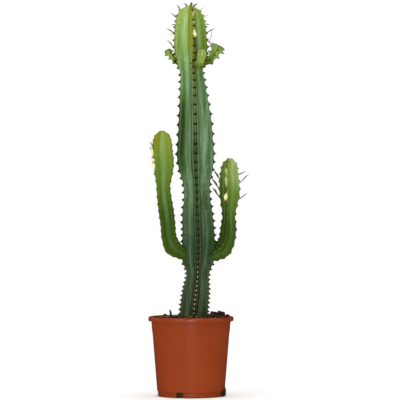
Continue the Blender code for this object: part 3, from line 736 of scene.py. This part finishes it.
# -------- shoots
# Three short shoots of this season's growth, just under the growing head. Their skin is thin and
# bright, and the teeth of their edges stand out because the ribs haven't filled yet.
SHOOT_LEFT = (
    (-21, -1, 661, 6.5, 20), (-30, -2, 667, 6.2, 20), (-37.5, -3, 675, 5.6, 20),
    (-43, -3, 682, 6.8, 20), (-46.5, -3, 687.5, 7.6, 20), (-47.5, -3, 689.5, 3, 20),
)
SHOOT_FRONT = (
    (5, -20, 657, 8, 45), (12, -30, 658.5, 10, 45), (18.5, -39, 664.5, 10, 45),
    (21, -44, 673, 11.5, 45), (22, -46, 680, 12.8, 45), (22.5, -46, 686.5, 8.5, 45), (23, -46, 689, 2.5, 45),
)
SHOOT_RIGHT = (
    (20, 2, 662, 7.5, 12), (32, 2, 666, 7.6, 12), (41.5, 3, 674, 8.4, 12),
    (48.5, 3, 685, 10.5, 12), (53, 3, 693, 13.4, 12), (55.4, 3, 697, 13.2, 12), (56.2, 3, 698.6, 4, 12),
)
EVEN_BLOOM_AND_SHEEN, NO_BLOOM_OR_SHEEN = (0.45,) * 2 * RIBS, (0.0,) * 2 * RIBS
shoots = {
    "shoot_left": Stem(SHOOT_LEFT, (14, 8), NO_BLOOM_OR_SHEEN, valley=0.4, tooth=4.2 * MM, keen=2.8),
    "shoot_front": Stem(SHOOT_FRONT, (14, 9), EVEN_BLOOM_AND_SHEEN, valley=0.36, tooth=3.6 * MM, keen=2.4),
    "shoot_right": Stem(SHOOT_RIGHT, (19, 12, 8), EVEN_BLOOM_AND_SHEEN, valley=0.36, tooth=5.4 * MM, keen=2.8),
}
shoot_skin = succulent_skin(
    "new_waxy_skin",
    ((0.0, (74, 62, 24)), (0.1, (128, 150, 58)), (0.45, (120, 150, 56)),
     (0.65, (90, 106, 24)), (0.8, (74, 70, 14)), (1.0, (70, 74, 12))),
    (168, 196, 110), 0.35, (84, 74, 24), 0.5)
for node, shoot in shoots.items():
    lay(node + "_skin", *shoot.skin(), shoot_skin, "shoot_skin", node, sharp_degrees=180)


# -------- spines
# A pair of short stout thorns on every pad, spread sideways. They are dead horn, brown when new
# and grey-black with age, and a dark scab of the same horn holds each pair.
SPINE_SEED = 5
WEAR_AT = (0, 0.3, 0.45)  # shares of a stem's length from its base, between which the wear eases off
PAD_SINK = 0.9 * MM  # how far a pad is set into its crest


def thorns(stem, length, rng):
    """A pair of thorns on every pad. Each runs from inside its pad, out and to one side, curves up
    by the square of the way along it, and thins to a point. Those on the oldest skin are worn to
    half their length."""
    foot, outward, aside, upward, slim, height = stem.crests(-PAD_SINK)
    worn = np.interp(height, WEAR_AT, (0.45, 0.5, 1))
    spread = rng.normal(0, 0.12, (2, len(foot), 3))
    hand = np.array((-1, 1))[:, None, None]
    way = unit(0.74 * outward + hand * 0.7 * aside + 0.1 * upward + spread)
    reach = length * slim * worn * rng.uniform(0.8, 1.15, (2, len(foot), 1))
    t = np.array((0, 0.05, 0.45, 0.8, 1))[:, None]
    start = foot + hand * 0.55 * MM * slim * aside
    paths = start[:, :, None] + reach[:, :, None] * t * (way[:, :, None] + 0.12 * t * upward[:, None])
    radii = 0.2 * length * slim * np.array((0, 1, 0.62, 0.3, 0))
    return tubes(paths, np.broadcast_to(radii, paths.shape[:-1]))


def scabs(stem, length, rng):
    """The horny pad under each pair: a low rough lump, longest up the rib."""
    foot, outward, aside, upward, slim, height = stem.crests(-PAD_SINK)
    slim = slim * np.interp(height, WEAR_AT, (0.7, 0.75, 1))
    frames = np.stack((upward, aside, outward), axis=1)
    sizes = np.array((1.0, 1.25, 0.75)) * length * slim * rng.uniform(0.85, 1.15, (len(foot), 3))
    return lumps(foot - 0.6 * MM * upward, frames, sizes, rng, rough=0.12)


def horn(name, pad, tip):
    """Dead horn, paler at the pad and dark at the tip, with fine streaks."""
    paint = Paint(name, 0.12)
    streaks = paint.noise(700, detail=4)
    colour = paint.mix(paint.read("reach") * 0.8 + streaks * 0.3, pad, tip)
    return paint.feed(colour, 0.4 + streaks * 0.3, streaks, 0.1 * MM)


rng = np.random.default_rng(SPINE_SEED)
old_horn = horn("old_horn", (36, 34, 16), (30, 26, 18))
young_horn = horn("young_horn", (72, 60, 24), (44, 34, 20))
reach = np.array((0, 0.1, 0.45, 0.8, 1))[:, None]
for name, stem, length, material in (
        ("main_stem", main_stem, 4.6 * MM, old_horn), ("left_arm", left_arm, 2.8 * MM, young_horn),
        ("right_arm", right_arm, 2.8 * MM, young_horn),
        *((name, shoot, 3 * MM, young_horn) for name, shoot in shoots.items())):
    lay(name + "_thorns", thorns(stem, length, rng), {"reach": reach}, material, "bark")
    lay(name + "_pads", scabs(stem, length, rng), {"reach": 0.2}, material, "bark")


# -------- leaves
# Small soft blades on the newest pads, one above each pair of thorns. They dry and drop within a
# season, so some are still green, some have turned cream, and some are brown and curled.
STALK = 5 * MM  # how far a blade's stalk runs down to its pad


def corners_of(node):
    """Every corner of a solid, as an array."""
    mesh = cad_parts[node].data
    corners = np.empty(len(mesh.vertices) * 3, np.float32)
    mesh.vertices.foreach_get("co", corners)
    return corners.reshape(-1, 3).astype(float)


def blade(node, narrowest, depth, fold, rows=19, columns=14):
    """A leaf that follows its solid's own middle line, a quadratic fitted to the solid's points.

    Across, the section is a thin lens folded up along the midrib, by fold times its half width,
    and ruffled by a sine on either side. The half width follows sin(pi t)^0.9, so that the blade
    is drawn in at its stalk and comes to a point, and a longer sine makes its two sides unlike.
    """
    solid = np.unique(corners_of(node).round(7), axis=0)
    axes = np.linalg.svd(solid - solid.mean(axis=0))[2]
    t = (solid - solid.mean(axis=0)) @ axes[0]
    ends = solid[t.argmin()], solid[t.argmax()]
    inner = min(ends, key=lambda end: np.abs(stem_line - end).sum(axis=1).min())
    if inner is ends[1]:
        t = -t
    t = (t - t.min()) / np.ptp(t)
    curve = np.polyfit(t, solid, 2)
    rest = solid - np.stack([np.polyval(curve[:, k], t) for k in range(3)], axis=1)
    across = np.linalg.svd(rest)[2][0]
    half = np.abs(rest @ across).max()
    length = np.linalg.norm(curve[0] + curve[1])
    t = np.linspace(-STALK / length, 1, rows)[:, None]
    line = curve[0] * t ** 2 + curve[1] * t + curve[2]
    t = np.linspace(0, 1, rows)[:, None]
    normal = unit(np.cross(across, np.gradient(line, axis=0)))
    normal *= np.sign(normal[rows // 2, 2] + 1e-9)
    a = circle(columns)
    side = np.cos(a)
    width = max(half, narrowest) * np.maximum(np.sin(math.pi * (0.05 + 0.95 * t ** 1.1)), 0) ** 0.9
    width = width * (1 + 0.12 * np.sin(8 * t + 2 * np.sign(side)))
    thick = depth * np.sin(math.pi * (0.05 + 0.95 * t)) ** 0.5
    ruffle = 0.2 * side * np.sin(11 * t + 2.5 * np.sign(side) + length / MM)
    lift = width * (fold * np.abs(side) ** 1.3 + ruffle) + thick * np.sin(a)
    points = line[:, None] + (width * side)[..., None] * across + lift[..., None] * normal[:, None]
    points[0], points[-1] = line[0], line[-1]
    return points, {"reach": t, "edge": np.abs(side)}


def leaf_blade(name, stalk, middle, tip):
    """A thin soft blade: stalk, middle and tip colours along it, a pale midrib and fine streaks."""
    paint = Paint(name, 0.3)
    streaks, blots = paint.noise(500, detail=4), paint.noise(260, detail=2)
    reach = paint.read("reach") + (streaks - 0.5) * 0.3 + (blots - 0.5) * 0.4
    colour = paint.ramp(reach, (0.0, stalk), (0.25, middle), (0.7, middle), (0.92, tip))
    midrib = paint.read("edge").step(0.22, 0.05)
    colour = paint.mix(midrib * 0.35, colour, (214, 210, 150))
    return paint.feed(colour, 0.5 + streaks * 0.2, streaks - midrib * 0.5, 0.15 * MM)


stem_line = np.vstack([stem.at(np.linspace(0, stem.count, 200))[0]
                       for stem in (main_stem, left_arm, right_arm)])
# material, least half width and half thickness in millimetres, fold, and the leaves that have them
LEAVES = (
    (leaf_blade("green_leaf", (120, 140, 60), (168, 180, 92), (150, 136, 70)), 1.7, 0.3, 0.4,
     ("head_06", "head_07", "head_11", "head_12", "head_15", "head_16", "left_arm_04", "right_arm_01",
      "right_arm_02")),
    (leaf_blade("cream_leaf", (214, 204, 140), (240, 230, 172), (150, 118, 66)), 3.4, 0.5, 0.9,
     ("head_13", "left_arm_01", "left_arm_02", "left_arm_03", "right_arm_03")),
    (leaf_blade("curled_leaf", (78, 70, 30), (118, 104, 56), (58, 46, 28)), 2.6, 0.7, 1.0,
     ("right_arm_04", "right_arm_05", "right_arm_06", "crown_01", "crown_02", "crown_03")),
    (leaf_blade("brown_leaf", (78, 80, 36), (84, 76, 46), (62, 50, 36)), 1.7, 0.6, 0.7,
     ("head_01", "head_02", "head_03", "head_04", "head_05", "head_08", "head_09", "head_10", "head_14",
      "right_arm_07", "right_arm_08", "right_arm_09")),
)
for finish, narrowest, depth, fold, names in LEAVES:
    for name in names:
        lay("blade_" + name, *blade("leaf_" + name, narrowest * MM, depth * MM, fold), finish, "leaf_blade",
            "leaf_" + name)

# where each thread hangs from and how far it drops, in millimetres
THREAD_STARTS = ((-39, -2, 729), (41, -2, 731))
THREAD_DROPS = ((1, 0, -15), (-3, 0, -30))


def threads():
    """Shrivelled ends of two fallen leaves, caught on the spines. Each hangs in a line that a sine
    sways to the side, and its radius follows sin(pi t)^0.3, so that it closes at both ends."""
    t = np.linspace(0, 1, 9)
    paths = (np.array(THREAD_STARTS)[:, None] + np.array(THREAD_DROPS)[:, None] * t[:, None]) * MM
    paths[..., 0] += 1.6 * MM * np.sin(5 * t) * (t + 0.2)
    radii = np.array(((0.6,), (0.7,))) * MM * np.sin(math.pi * (0.02 + 0.96 * t)) ** 0.3
    radii[:, (0, -1)] = 0
    return tubes(paths, radii)


lay("dry_threads", threads(), {"tone": 0.5},
    earth("shrivelled_leaf", (120, 96, 78), (206, 182, 164), 0.7), "leaf_blade")


# -------- bark chips
# Coarse chips of pine bark that worked up to the top of the soil, each a rough layered slab. They
# are dead wood, dark and damp, and lie loose, pressed a little way into the crumbs.
BARK_SEED = 7
BARK_CHIPS = 7


def chip(node, rng):
    """A rough slab as long, wide and thick as its solid, along the solid's own three axes."""
    solid = corners_of(node)
    middle = (solid.max(axis=0) + solid.min(axis=0)) / 2
    axes = np.linalg.svd(solid - middle, full_matrices=False)[2]
    sizes = np.ptp((solid - middle) @ axes.T, axis=0)
    return lumps(middle[None], axes[None], sizes[None] * 1.02, rng, rows=6, columns=8, rough=0.26)


rng = np.random.default_rng(BARK_SEED)
pine_bark = earth("pine_bark", (28, 18, 14), (100, 62, 42), 0.75)
for number in range(1, BARK_CHIPS + 1):
    node = f"bark_{number}"
    lay("pine_" + node, chip(node, rng), {"tone": rng.uniform(0.2, 0.7)}, pine_bark, "bark", node,
        sharp_degrees=12)


# -------- twig
# A dry twig pushed into the soil beside the stem, snapped off at its top. It is dead wood with its
# dark bark still on, and only the soil holds it up.
twig_low, twig_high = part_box("twig")


def twig():
    """A rod from the soil to its snapped top. It leans, with a sine's slight bow, and its radius
    falls evenly but for a bell-shaped knot half way up."""
    t = np.linspace(0, 1, 15)
    x = twig_high.x - 1.6 * MM - (twig_high.x - twig_low.x - 2.8 * MM) * t + 0.4 * MM * np.sin(math.pi * t)
    y = (twig_low.y + twig_high.y) / 2 + 0 * t
    z = twig_low.z + (twig_high.z - twig_low.z) * t
    radius = 2.6 * MM * (1 - 0.45 * t) + 0.35 * MM * np.exp(-((t - 0.55) / 0.06) ** 2)
    radius[(0, -1),] = 0
    z[-1] = z[-2] + 0.2 * MM
    return tubes(np.stack((x, y, z), axis=-1), radius, columns=12)


lay("snapped_twig", twig(), {"tone": 0.3}, earth("twig_bark", (26, 20, 20), (70, 52, 42), 0.7), "bark",
    "twig")


# -------- roots
# Fine roots and moss that found their way out of the right-hand drain notch and up the wall. The
# roots are brown and woody, and the moss has grown over them where the drained water keeps damp.
ROOT_SEED = 3
ROOT_HAIRS = 40
MOSS_TUFTS = 60
ROOT_TURN = NOTCH_TURNS[1]
# radius from the pot's axis, height and thickness, in millimetres
ROOT_ROUTE = (
    (65.2, 7.2, 1.5), (68.5, 6.4, 2.1), (71.2, 8.8, 2.4), (71.6, 13.5, 2.2), (71.4, 18, 1.6),
    (72.6, 22, 1.0),
)


def root_hairs(rng):
    """Hairs that wander along the route: each keeps to its own side of the route's width, with a
    slow swing, and stops somewhere short of the end."""
    route = np.array(ROOT_ROUTE) * MM
    t = np.linspace(0, 1, 9)
    stop = rng.uniform(0.35, 1.0, (ROOT_HAIRS, 1))
    along = stop * t * (len(route) - 1)
    radius, height, thick = (np.interp(along, np.arange(len(route)), column) for column in route.T)
    sway = rng.uniform(-1, 1, (3, ROOT_HAIRS, 1)) + 0.35 * np.sin(rng.uniform(3, 9, (3, ROOT_HAIRS, 1)) * t)
    radius = radius + thick * 0.7 * np.abs(sway[0])
    height = np.maximum(height + 1.3 * thick * sway[1], 0.7 * MM)
    turn = ROOT_TURN + 2.2 * thick * sway[2] / radius
    radii = rng.uniform(0.2, 0.45, (ROOT_HAIRS, 1)) * MM * np.sqrt(1 - t ** 4)
    radii[:, 0] = 0
    return tubes(round_z(radius, turn, height), radii)


def moss(rng):
    """Small clumps of moss: their heights and turns are normal draws about the notch, and they lie
    on the wall or a little off it."""
    radius = (68 + np.abs(rng.normal(0, 1.7, MOSS_TUFTS))) * MM
    height = np.maximum(rng.normal(4.6, 2.3, MOSS_TUFTS), 1) * MM
    turn = ROOT_TURN + rng.normal(0, 3.2, MOSS_TUFTS) * MM / radius
    frames = turns(MOSS_TUFTS, rng, 0.8)
    sizes = rng.uniform(1, 3.2, (MOSS_TUFTS, 3)) * MM
    return lumps(round_z(radius, turn, height), frames, sizes, rng, rough=0.35)


rng = np.random.default_rng(ROOT_SEED)
moss_tone = rng.uniform(0, 0.8, (MOSS_TUFTS, 1, 1))
lay("moss", moss(rng), {"tone": moss_tone}, earth("dark_moss", (16, 18, 10), (52, 50, 34), 0.9), "roots")
lay("root_tuft_hairs", root_hairs(rng), {"tone": rng.uniform(0, 1, (ROOT_HAIRS, 1, 1))},
    earth("mossy_root", (28, 26, 16), (84, 72, 46), 0.8), "roots", "root_tuft")


# -------- studio
# A wide pale floor under an even overhead light, with a tall soft box in front, a larger one on the
# left, and a camera level with the middle of the plant. The floor glows faintly, except under the
# pot, so that it stays as white as the air behind it.
FLOOR_HALF = 60  # metres
SHADED = (64 * MM, 75 * MM)  # between these radii the floor's glow sets in
FLOOR_GLOW = 0.34
AIR_LIGHT = 0.31  # the air's light on the plant
AIR_SEEN = 1.0  # how bright it is behind the plant
AIR_UNMIRRORED = 0.26  # what a shiny skin doesn't mirror of it
OVERHEAD_SPREAD = math.radians(70)
LENS = 219  # millimetres, for a sensor 36 wide
CAMERA_PLACE = (0.018, -4.85, 0.390)
floor_mesh = bpy.data.meshes.new("studio_floor")
floor_mesh.from_pydata([(x * FLOOR_HALF, y * FLOOR_HALF, 0) for x, y in ((-1, -1), (1, -1), (1, 1), (-1, 1))],
                       [], [(0, 1, 2, 3)])
floor = bpy.data.objects.new("studio_floor", floor_mesh)
floor.location.z = -0.2 * MM
scene.collection.objects.link(floor)
floor.visible_glossy = False  # or it would lay a haze over the pot's satin wall
floor_paint = Paint("pale_floor", 0.1, {"Roughness": 0.9, "Base Color": tint(240, 240, 240),
                                        "Emission Strength": FLOOR_GLOW})
from_axis = floor_paint.node("VectorMath", {"operation": "LENGTH"}, {0: floor_paint.where},
                             output="Value")
glow = floor_paint.mix(from_axis.step(*SHADED), (0, 0, 0), (255, 255, 255))
floor_paint.tree.links.new(glow.socket, floor_paint.shader.inputs["Emission Color"])
floor_mesh.materials.append(floor_paint.material)

# name, kind, place in metres, power, and a soft box's width and height
LAMPS = (
    ("front_box", "AREA", (0.0, -5.9, 0.36), 98, (0.35, 0.7)),
    ("side_box", "AREA", (-3.0, -3.6, 1.4), 34, (1.2, 2.4)),
    ("overhead", "SUN", (0, 0, 3), 1.55, None),
)
plant_middle = (pot_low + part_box("main_stem")[1]) / 2
for name, kind, spot, power, size in LAMPS:
    light = bpy.data.lights.new(name, kind)
    light.energy = power
    if size:
        light.shape = "RECTANGLE"
        light.size, light.size_y = size
    else:
        light.angle = OVERHEAD_SPREAD
    holder = bpy.data.objects.new(name, light)
    holder.location = spot
    holder.rotation_euler = (holder.location - plant_middle).to_track_quat("Z", "Y").to_euler()
    scene.collection.objects.link(holder)

world = bpy.data.worlds.new("studio_air")
scene.world = world
world.use_nodes = True
air = Nodes(world.node_tree)
camera_ray = air.node("LightPath", output="Is Camera Ray")
glossy_ray = air.node("LightPath", output="Is Glossy Ray")
level = air.node("MapRange", {}, {"Value": camera_ray, "To Min": AIR_LIGHT, "To Max": AIR_SEEN})
backdrop = air.tree.nodes["Background"].inputs
backdrop["Color"].default_value = (1, 1, 1, 1)
air.tree.links.new((level - glossy_ray * AIR_UNMIRRORED).socket, backdrop["Strength"])

lens = bpy.data.cameras.new("camera")
lens.lens = LENS
lens.sensor_width = 36
camera = bpy.data.objects.new("camera", lens)
camera.location = CAMERA_PLACE
camera.rotation_euler = (math.pi / 2, 0, 0)
scene.collection.objects.link(camera)
scene.camera = camera
scene.view_settings.view_transform = "Standard"
